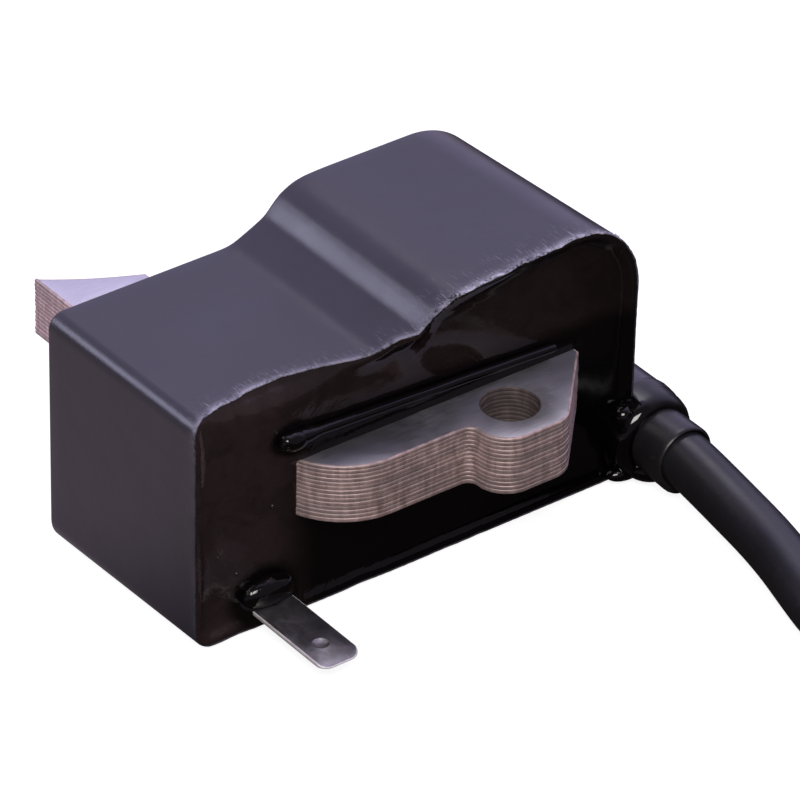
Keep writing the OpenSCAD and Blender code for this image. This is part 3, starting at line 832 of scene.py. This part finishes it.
    # the long ridge over the core, with its rounded left end
    spine = [(11.75 + 34.6 * t, 0.42 + 0.1 * wob(t * 30, 0, 0, 3.0, 8), 21.75 - 1.75 * t) for t in [k / 40 for k in range(41)]]
    rings = []
    m_ = 16
    for k, p in enumerate(spine):
        rad = (0.86 if k < 4 else 0.62) - 0.1 * k / 40
        if k == 4:
            rad = 0.72
        rings.append([(p[0], p[1] - rad * 1.15 * math.cos(2 * math.pi * i / m_), p[2] + rad * math.sin(2 * math.pi * i / m_)) for i in range(m_)])
    caps = []
    for end, sgn_, rad in ((spine[0], -1, 0.86), (spine[-1], 1, 0.52)):
        cap = []
        for ph in (20, 40, 60, 80):
            c_, s_ = math.cos(math.radians(ph)), math.sin(math.radians(ph))
            cap.append([(end[0] + sgn_ * rad * s_, end[1] - rad * c_ * 1.15 * math.cos(2 * math.pi * i / m_), end[2] + rad * c_ * math.sin(2 * math.pi * i / m_)) for i in range(m_)])
        caps.append(cap)
    rings = caps[0][::-1] + rings + caps[1]
    vr = loops_to_bm(bm, rings)
    bm.faces.new(vr[0])
    bm.faces.new(vr[-1])
    return new_object("potting_epoxy", bm, 50, ["epoxy"])


def order_loop(edges):
    nxt = {}
    for e in edges:
        for v in e.verts:
            nxt.setdefault(v, []).append(e.other_vert(v))
    start = edges[0].verts[0]
    loop, prev, cur = [start], None, start
    while True:
        cand = [v for v in nxt[cur] if v is not prev]
        prev, cur = cur, cand[0]
        if cur is start:
            return loop
        loop.append(cur)


def add_drop(bm, c, r, rings=10, n=20):
    top = bm.verts.new(mm((c[0], c[1] - r[1], c[2])))
    prev = None
    for k in range(1, rings + 1):
        ph = math.pi * k / rings
        if k == rings:
            end = bm.verts.new(mm((c[0], c[1] + r[1], c[2])))
            for i in range(n):
                bm.faces.new((prev[i], prev[(i + 1) % n], end))
            break
        ring = []
        for i in range(n):
            an = 2 * math.pi * i / n
            ring.append(bm.verts.new(mm((c[0] + r[0] * math.sin(ph) * math.cos(an), c[1] - r[1] * math.cos(ph), c[2] + r[2] * math.sin(ph) * math.sin(an)))))
        if prev is None:
            for i in range(n):
                bm.faces.new((top, ring[(i + 1) % n], ring[i]))
        else:
            for i in range(n):
                j = (i + 1) % n
                bm.faces.new((prev[i], prev[j], ring[j], ring[i]))
        prev = ring


potting = build_potting()
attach(potting, "root")
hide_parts("potting_compound")

# ---------------------------------------------------------------- core
HOLES = [(37.5, -3.9), (16.1, 31.5)]


def core_ring():
    """Outline of one sheet, counter-clockwise, with the pole faces on their arc."""
    def pole(x):
        return 82.9 - math.sqrt(48 ** 2 - (x - 39.7) ** 2)

    pts = []
    pts += arc(21.5, 4, 8.75, 180, 270, 40)
    pts += [(30.6, -4.75)]
    pts += arc(30.65, -5.95, 1.2, 90, 0, 8)[1:]
    pts += arc(35.45, -5.95, 3.6, 180, 270, 18)
    pts += arc(39.3, -5.95, 3.6, 270, 318.5, 10)
    pts += [(49.5, -0.2)]
    pts += [(49.5 - 10 * i / 12, pole(49.5 - 10 * i / 12)) for i in range(13)]
    pts += arc(38.7, 5.3, 0.8, 0, -90, 5)
    pts += arc(21.8, 5.3, 0.8, 270, 180, 5)
    pts += [(21 - 10.3 * i / 14, pole(21 - 10.3 * i / 14)) for i in range(15)]
    pts += [(10.7, 5.6), (12.75, 5.6)]
    return spread(pts, 0.9)


def build_core():
    bm = bmesh.new()
    base = core_ring()
    rnd = random.Random(3)
    for i in range(14):
        z0 = CORE_Z[0] + i * 0.5
        z1 = z0 + 0.48
        dx, dy = rnd.uniform(-0.035, 0.035), rnd.uniform(-0.045, 0.045)
        if i in (0, 13):
            dx = dy = 0
        # the sheared edge: rolled over on one side, a small burr on the other
        prof = [(0.085, z0), (0.03, z0 + 0.035), (0.0, z0 + 0.09), (0.012, z0 + 0.27), (0.0, z1 - 0.13), (0.025, z1 - 0.06), (0.09, z1 - 0.012), (0.14, z1)]
        if i == 13:
            prof = [(0.085, z0), (0.03, z0 + 0.035), (0.0, z0 + 0.09), (0.0, z1 - 0.2), (0.02, z1 - 0.12), (0.07, z1 - 0.055), (0.15, z1 - 0.015), (0.26, z1)]
        rings = []
        for d, z in prof:
            one = []
            off = offset_ring(base, d * (0.6 if i < 13 else 1))
            for x, y in off:
                w = 0.018 * wob(x, y, i * 4.0, 0.9, i)
                one.append(bm.verts.new(mm((x + dx + w, y + dy + w, z))))
            rings.append(one)
        for a, b in zip(rings, rings[1:]):
            for k in range(len(a)):
                j = (k + 1) % len(a)
                f = bm.faces.new((a[k], a[j], b[j], b[k]))
                f.material_index = 1
        lows, highs = [], []
        for hx, hy in HOLES:
            n = 56
            hd = [(3.24, z0), (3.17, z0 + 0.05), (3.15, z0 + 0.12), (3.15, z1 - 0.12), (3.18, z1 - 0.05), (3.28, z1)]
            hx += rnd.uniform(-0.05, 0.05) * (0 < i < 13)
            hy += rnd.uniform(-0.05, 0.05) * (0 < i < 13)
            hr = [[bm.verts.new(mm((hx + r * math.cos(2 * math.pi * k / n), hy + r * math.sin(2 * math.pi * k / n), z))) for k in range(n)] for r, z in hd]
            for a, b in zip(hr, hr[1:]):
                for k in range(n):
                    j = (k + 1) % n
                    f = bm.faces.new((a[k], b[k], b[j], a[j]))
                    f.material_index = 1
            lows.append(hr[0])
            highs.append(hr[-1])
        fill_between(bm, [rings[0]] + lows, 0)
        fill_between(bm, [rings[-1]] + highs, 0)
    return new_object("core_sheets", bm, 38, ["sheet", "edge"])


core = build_core()
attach(core, "root")
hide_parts("core_laminations")

# ---------------------------------------------------------------- stop-switch tab


def build_tab():
    bm = bmesh.new()
    x0, x1, yb, yt = 7.2, 12.4, -12.6, 4.0
    rc, rd = 1.15, 1.75
    ring = [(x0, yt)]
    ring += arc(x0 + rc, yb + rc, rc, 180, 270, 10)
    ring += arc(x1 - rd, yb + rd, rd, 270, 360, 12)
    ring += [(x1, yt), (10.6, 5.4), (10.6, 11), (8.6, 11), (8.6, 5.4)]
    ring = spread(ring, 0.5)

    def slope(y):
        """The tip is bevelled over its last 1.1 mm, on both faces."""
        return 0.17 * max(0, min(1, (yb + 1.25 - y) / 1.1))

    zl, zh = 2.0, 2.5
    prof = [(0.12, zl, 1), (0.04, zl + 0.03, 1), (0.0, zl + 0.1, 1), (0.0, zh - 0.1, -1), (0.04, zh - 0.03, -1), (0.12, zh, -1)]
    rings = []
    for d, z, s in prof:
        off = offset_ring(ring, d)
        rings.append([bm.verts.new(mm((x, y, z + s * slope(y) * (1 if abs(z - 2.25) > 0.2 else 0.6)))) for x, y in off])
    for a, b in zip(rings, rings[1:]):
        for k in range(len(a)):
            j = (k + 1) % len(a)
            f = bm.faces.new((a[k], a[j], b[j], b[k]))
            f.material_index = 1
    # bevel line: a chain of points where the slope starts keeps the flat flat
    n = 32
    cx, cy = 9.6, -8.8
    dim = [(1.18, 0.0), (1.05, 0.045), (0.92, 0.05), (0.8, -0.02), (0.66, -0.14), (0.45, -0.21), (0.2, -0.235)]
    dr = [[bm.verts.new(mm((cx + r * math.cos(2 * math.pi * k / n), cy + r * math.sin(2 * math.pi * k / n), zh + h))) for k in range(n)] for r, h in dim]
    for a, b in zip(dr, dr[1:]):
        for k in range(n):
            j = (k + 1) % n
            bm.faces.new((a[k], a[j], b[j], b[k]))
    bm.faces.new(dr[-1])
    cut_top = [i for i, v in enumerate(rings[-1]) if (v.co.y * 1000 + ORG[1]) <= yb + 1.25]
    fill_tab(bm, rings[-1], dr[0], yb + 1.25, zh)
    fill_tab(bm, rings[0], None, yb + 1.25, zl)
    obj = new_object("stop_tab", bm, 30, ["tin", "tin_edge_lit"])
    return obj


def fill_tab(bm, ring, hole, ycut, z):
    """Fills a face of the tab in two flat parts, split where the bevel begins."""
    def y_of(v):
        return v.co.y * 1000 + ORG[1]

    n = len(ring)
    cross = [i for i in range(n) if (y_of(ring[i]) - ycut) * (y_of(ring[(i + 1) % n]) - ycut) < 0]
    ends = []
    for i in cross:
        a, b = ring[i], ring[(i + 1) % n]
        ends.append(a if abs(y_of(a) - ycut) < abs(y_of(b) - ycut) else b)
    i, j = sorted(ring.index(v) for v in ends)
    part1, part2 = ring[i:j + 1], ring[j:] + ring[:i + 1]
    for part in (part1, part2):
        keep = [part]
        if hole and max(y_of(v) for v in part) > -5:
            keep.append(hole)
        fill_between(bm, keep)


tab = build_tab()
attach(tab, "root")
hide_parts("stop_terminal")

# ---------------------------------------------------------------- sleeve


def lathe_y(name, c, sec, n, mats, angle=40, closed=True, bend=None):
    bm = bmesh.new()
    rings = []
    for r, y in sec:
        pts = [(c[0] + r * math.cos(2 * math.pi * i / n), y, c[1] + r * math.sin(2 * math.pi * i / n)) for i in range(n)]
        rings.append([bm.verts.new(mm((x, y_, bend(c, x, y_, z) if bend else z))) for x, y_, z in pts])
    if closed:
        rings.append(rings[0])
    for a, b in zip(rings, rings[1:]):
        for i in range(n):
            j = (i + 1) % n
            bm.faces.new((a[i], a[j], b[j], b[i]))
    return new_object(name, bm, angle, mats)


def droop(c, x, y, z):
    """The lower side of the sleeve hangs a little towards its mouth."""
    r = math.hypot(x - c[0], z - c[1])
    if r < 3.4 or y > 0:
        return z
    return z - 0.95 * min(1, -y / 4.5) * max(0, (c[1] - z) / r)


sleeve = lathe_y("outlet_sleeve", BOSS, [
    (3.14, 8.9), (3.14, -6.72), (3.19, -6.9), (3.29, -7.0), (3.42, -7.0), (3.53, -6.9), (3.59, -6.7), (3.6, -6.3), (3.6, -3), (3.6, 0.5), (3.6, 4), (3.6, 8.9)],
    72, ["sleeve"], bend=droop)
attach(sleeve, "root")
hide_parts("lead_sleeve")

# ---------------------------------------------------------------- high-tension lead
ROUTE = [
    (59.2, 9, 5), (59.2, 4, 5), (59.2, -1, 5), (59.2, -7, 4.88), (59.2, -11.5, 4.15),
    (59, -16, 3.5), (58.45, -21, 3.15), (57.35, -26, 3.1), (55.9, -31, 3.1), (54.5, -36.5, 3.1),
    (54.2, -42.5, 3.1), (55.2, -49, 3.1), (57.9, -55.2, 3.1), (62.2, -60.7, 3.1), (68, -65, 3.1),
    (75, -67.7, 3.1), (82.5, -68.6, 3.1), (90.2, -67.8, 3.1), (97.4, -65.2, 3.1), (103.5, -60.8, 3.1),
    (108.1, -55, 3.1), (111, -48, 3.1), (112, -41, 3.1), (112, -35, 3.4), (112, -28, 4.2),
    (112, -21, 5.4), (112, -14, 6.5), (112, -8, 7), (112, -3, 7), (112, 3, 7),
    (112, 9, 7), (112, 15.6, 7),
]
LEAD_R = 3.09


def smooth_path(pts, step):
    """Centripetal curve through the points, resampled evenly, with its sharp changes eased."""
    p = [Vector(q) for q in pts]
    p = [2 * p[0] - p[1]] + p + [2 * p[-1] - p[-2]]
    dense = []
    for i in range(1, len(p) - 2):
        a, b, c, d = p[i - 1:i + 3]
        for k in range(24):
            t = k / 24
            dense.append(0.5 * ((2 * b) + (c - a) * t + (2 * a - 5 * b + 4 * c - d) * t * t + (3 * b - a - 3 * c + d) * t ** 3))
    dense.append(p[-2])
    arr = np.array([list(v) for v in dense])
    for _ in range(60):
        arr[1:-1] = 0.5 * arr[1:-1] + 0.25 * (arr[:-2] + arr[2:])
    seg = np.linalg.norm(np.diff(arr, axis=0), axis=1)
    s = np.concatenate([[0], np.cumsum(seg)])
    n = int(s[-1] / step)
    at = np.linspace(0, s[-1], n + 1)
    return [Vector([float(np.interp(t, s, arr[:, k])) for k in range(3)]) for t in at]


def tube(name, path, radius, n, mats):
    bm = bmesh.new()
    rings = []
    side = None
    for i, p in enumerate(path):
        t = (path[min(i + 1, len(path) - 1)] - path[max(i - 1, 0)]).normalized()
        side = t.cross(Vector((0, 0, 1))).normalized() if side is None else (side - t * side.dot(t)).normalized()
        up = side.cross(t)
        r = radius(i) if callable(radius) else radius
        rings.append([bm.verts.new(mm(p + r * (math.cos(2 * math.pi * k / n) * side + math.sin(2 * math.pi * k / n) * up))) for k in range(n)])
    for a, b in zip(rings, rings[1:]):
        for k in range(n):
            j = (k + 1) % n
            bm.faces.new((a[k], a[j], b[j], b[k]))
    bm.faces.new(rings[0])
    bm.faces.new(rings[-1])
    return new_object(name, bm, 50, mats)


path = smooth_path(ROUTE, 0.9)
lead = tube("high_tension_lead", path, LEAD_R, 40, ["lead"])
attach(lead, "root")
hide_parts("ht_lead")

# ---------------------------------------------------------------- spark plug boot


def build_boot():
    """A moulded elbow: the rough body is joined from turned pieces, then remeshed so that they blend, and bored."""
    bx, by, bz, end, lz = 112.0, 20.0, 9.6, 138.0, 7.0
    bm = bmesh.new()

    def lathe(sec, place, n=64):
        rings = [[bm.verts.new(mm(place(a, r * math.cos(2 * math.pi * i / n), r * math.sin(2 * math.pi * i / n)))) for i in range(n)] for r, a in sec]
        for a, b in zip(rings, rings[1:]):
            for i in range(n):
                j = (i + 1) % n
                bm.faces.new((a[i], a[j], b[j], b[i]))
        bm.faces.new(rings[0])
        bm.faces.new(rings[-1])

    barrel = [(9 * math.sin(math.radians(a)), bx + 9 * math.cos(math.radians(a))) for a in range(178, 90, -8)]
    barrel += [(8.98, bx), (8.85, bx + 5), (8.72, bx + 12), (8.62, end - 5.4), (8.7, end - 4.6), (9.2, end - 4.0), (9.45, end - 3.3), (9.5, end - 2.4),
               (9.42, end - 1.2), (9.1, end - 0.4), (8.6, end - 0.05)]
    lathe(barrel, lambda a, u, v: (a, by + u, bz + v))
    neck = [(5.4, -3.95), (5.95, -3.8), (6.22, -3.3), (6.28, -2.2), (6.1, -1.0), (5.95, 0.5), (5.95, 3), (6.0, 8), (6.2, 13), (6.3, 17), (6.3, by)]
    lathe(neck, lambda a, u, v: (bx + u, a, lz + v))
    # two ribs round the neck and three grip ribs round the barrel
    for y in (3.2, 6.2):
        lathe([(5.0, y - 0.9), (6.25, y - 0.6), (6.4, y), (6.25, y + 0.6), (5.0, y + 0.9)], lambda a, u, v: (bx + u, a, lz + v))
    for x in (bx + 9.5, bx + 13, bx + 16.5):
        lathe([(8.0, x - 1.1), (9.2, x - 0.7), (9.36, x), (9.2, x + 0.7), (8.0, x + 1.1)], lambda a, u, v: (a, by + u, bz + v))
    obj = new_object("plug_boot_rubber", bm, 60, ["boot"])
    rem = obj.modifiers.new("blend", "REMESH")
    rem.mode = "VOXEL"
    rem.voxel_size = 0.00042
    sm = obj.modifiers.new("ease", "SMOOTH")
    sm.factor = 0.5
    sm.iterations = 5
    apply_all(obj)
    # bores
    bm = bmesh.new()
    lathe_cut = [(5.4, end - 18), (5.4, end - 1.4), (5.6, end - 0.7), (6.3, end + 0.4), (6.3, end + 2)]
    cutters = []
    for sec, place in (
        (lathe_cut, lambda a, u, v: (a, by + u, bz + v)),
        ([(4.0, bx - 3.5), (4.0, end - 17)], lambda a, u, v: (a, by + u, bz + v)),
        ([(3.9, -5.5), (3.6, -4.3), (3.14, -3.6), (3.14, 15.8)], lambda a, u, v: (bx + u, a, lz + v)),
        ([(2.0, 14), (2.0, by)], lambda a, u, v: (bx + u, a, lz + 0.4 + v)),
    ):
        bm = bmesh.new()
        n = 64
        rings = [[bm.verts.new(mm(place(a, r * math.cos(2 * math.pi * i / n), r * math.sin(2 * math.pi * i / n)))) for i in range(n)] for r, a in sec]
        for a, b in zip(rings, rings[1:]):
            for i in range(n):
                j = (i + 1) % n
                bm.faces.new((a[i], a[j], b[j], b[i]))
        bm.faces.new(rings[0])
        bm.faces.new(rings[-1])
        cutters.append(new_object("cutter", bm, 40))
    for c in cutters:
        mod = obj.modifiers.new("bore", "BOOLEAN")
        mod.operation = "DIFFERENCE"
        mod.solver = "EXACT"
        mod.object = c
    apply_all(obj)
    for c in cutters:
        bpy.data.objects.remove(c)
    shade(obj, 38)
    return obj


def apply_all(obj):
    deps = bpy.context.evaluated_depsgraph_get()
    mesh = bpy.data.meshes.new_from_object(obj.evaluated_get(deps))
    obj.modifiers.clear()
    old = obj.data
    obj.data = mesh
    if not mesh.materials:
        for m in old.materials:
            mesh.materials.append(m)
    bpy.data.meshes.remove(old)


boot = build_boot()
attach(boot, "root")
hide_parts("plug_boot")

# ---------------------------------------------------------------- floor and light


def build_stage():
    mesh = bpy.data.meshes.new("floor")
    z = mm((0, 0, 0)).z - 0.00052
    s = 4.0
    mesh.from_pydata([(-s, -s, z), (s, -s, z), (s, s, z), (-s, s, z)], [], [(0, 1, 2, 3)])
    floor = bpy.data.objects.new("floor", mesh)
    bpy.context.scene.collection.objects.link(floor)
    # the camera sees an evenly white ground; what the part mirrors is an emitted tone with a painted shadow, dark
    # towards the part's front right and paler behind it on the left
    m = Mat("floor_white", (0.3, 0.3, 0.3), 0.9, spec=0.0)
    nt = m.nt
    pos = m.add("ShaderNodeSeparateXYZ")
    m.link(m.coord.outputs["Object"], pos.inputs["Vector"])
    along = m.math("ADD", m.math("MULTIPLY", pos.outputs[0], -0.61), m.math("MULTIPLY", pos.outputs[1], 0.79))
    painted_shadow_tone = m.mix(m.range(along, 0.0, 0.036, 0, 1, True), (0.04, 0.03, 0.031), (0.46, 0.37, 0.44))
    mirrored_glow = m.add("ShaderNodeEmission")
    m.link(painted_shadow_tone, mirrored_glow.inputs["Color"])
    m.b.inputs["Emission Color"].default_value = (1, 1, 1, 1)
    m.b.inputs["Emission Strength"].default_value = 0.88
    path_node = m.add("ShaderNodeLightPath")
    both = m.add("ShaderNodeMixShader")
    m.link(path_node.outputs["Is Camera Ray"], both.inputs["Fac"])
    m.link(mirrored_glow.outputs["Emission"], both.inputs[1])
    m.link(m.b.outputs["BSDF"], both.inputs[2])
    m.link(both.outputs["Shader"], nt.nodes["Material Output"].inputs["Surface"])
    mesh.materials.append(m.m)


def area(name, direction, dist, size, energy, color=(1, 1, 1), target=(28, 8, 14)):
    light = bpy.data.lights.new(name, "AREA")
    light.shape = "RECTANGLE"
    light.size, light.size_y = size
    light.energy = energy
    light.color = color
    obj = bpy.data.objects.new(name, light)
    bpy.context.scene.collection.objects.link(obj)
    d = Vector(direction).normalized()
    t = mm(target)
    obj.location = t + d * dist
    obj.rotation_euler = (-d).to_track_quat("-Z", "Y").to_euler()
    return obj


build_stage()
def box(name, direction, dist, size, radiance, color=(1, 1, 1)):
    """An area light given by its radiance."""
    return area(name, direction, dist, size, radiance * math.pi * size[0] * size[1], color)


box("side_box", (-0.614, 0.658, 0.435), 0.8, (0.32, 0.3), 6.6, (0.84, 0.82, 1.12))
box("glint_box", (-0.42, -0.55, 0.72), 0.5, (0.25, 0.165), 16.5, (1, 0.95, 0.92))
box("zenith_box", (0.3, 0.4, 0.86), 0.8, (0.3, 0.3), 3.2, (1, 0.97, 1.0))

world = bpy.data.worlds.new("studio")
bpy.context.scene.world = world
world.use_nodes = True
wt = world.node_tree
bg = wt.nodes["Background"]
where = wt.nodes.new("ShaderNodeTexCoord")


def toward(d, lo, hi):
    v = Vector(d).normalized()
    dot = wt.nodes.new("ShaderNodeVectorMath")
    dot.operation = "DOT_PRODUCT"
    dot.inputs[1].default_value = v
    wt.links.new(where.outputs["Generated"], dot.inputs[0])
    n = wt.nodes.new("ShaderNodeMapRange")
    n.interpolation_type = "SMOOTHSTEP"
    n.inputs["From Min"].default_value = lo
    n.inputs["From Max"].default_value = hi
    wt.links.new(dot.outputs["Value"], n.inputs["Value"])
    return n.outputs["Result"]


def blend(fac, a, b):
    n = wt.nodes.new("ShaderNodeMix")
    n.data_type = "RGBA"
    wt.links.new(fac, n.inputs["Factor"])
    for key, v in (("A", a), ("B", b)):
        i = [k for k in n.inputs if k.name == key and k.type == "RGBA"][0]
        if isinstance(v, tuple):
            i.default_value = (*v, 1)
        else:
            wt.links.new(v, i)
    return [k for k in n.outputs if k.type == "RGBA"][0]


sky = blend(toward((0.55, 0.66, 0.5), 0.25, 0.72), (0.2, 0.175, 0.215), (0.87, 0.79, 1.24))
wt.links.new(sky, bg.inputs["Color"])
bg.inputs["Strength"].default_value = 1.0
bpy.context.scene.view_settings.view_transform = "Standard"
bpy.context.scene.view_settings.look = "None"
